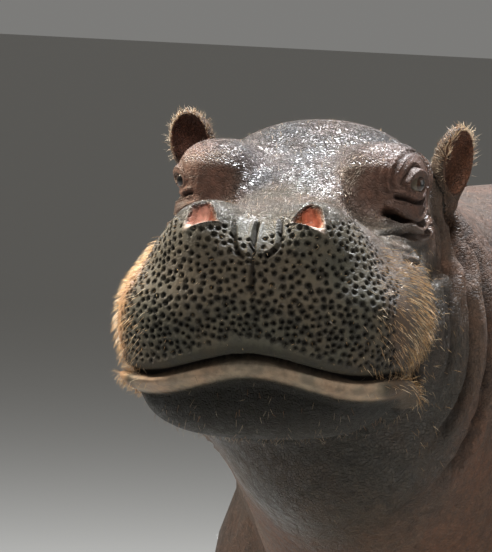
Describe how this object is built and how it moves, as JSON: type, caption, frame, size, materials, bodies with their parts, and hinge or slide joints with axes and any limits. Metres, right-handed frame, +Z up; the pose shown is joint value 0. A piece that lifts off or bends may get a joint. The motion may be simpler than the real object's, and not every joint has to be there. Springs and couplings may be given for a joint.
{
  "type": "hippopotamus",
  "caption": "Life-size still model of an adult hippopotamus standing with its head turned to its left, mouth closed, on four legs.",
  "frame": {"origin": "on the floor, under the middle of the bounding box", "axes": "+Z up, the trunk lies along Y with the muzzle end at -Y and the tail at +Y, +X is the animal's left"},
  "size_m": [1.1968, 3.2658, 1.5057],
  "materials": {
    "hide": "wet grey-brown hide, nearly bare",
    "ear_hide": "thin reddish-brown hide",
    "eye": "wet and glossy, dark brown",
    "toenail": "dull horn, satin"
  },
  "bodies": {
    "root": {"ear_left": "ear_hide", "ear_right": "ear_hide", "eye_left": "eye", "eye_right": "eye", "forefoot_left": "hide", "forefoot_right": "hide", "foreleg_left": "hide", "foreleg_right": "hide", "forenail_left_1": "toenail", "forenail_left_2": "toenail", "forenail_left_3": "toenail", "forenail_left_4": "toenail", "forenail_right_1": "toenail", "forenail_right_2": "toenail", "forenail_right_3": "toenail", "forenail_right_4": "toenail", "head": "hide", "hindfoot_left": "hide", "hindfoot_right": "hide", "hindleg_left": "hide", "hindleg_right": "hide", "hindnail_left_1": "toenail", "hindnail_left_2": "toenail", "hindnail_left_3": "toenail", "hindnail_left_4": "toenail", "hindnail_right_1": "toenail", "hindnail_right_2": "toenail", "hindnail_right_3": "toenail", "hindnail_right_4": "toenail", "lower_jaw": "hide", "neck": "hide", "tail": "hide", "trunk": "hide"}
  },
  "joints": []
}
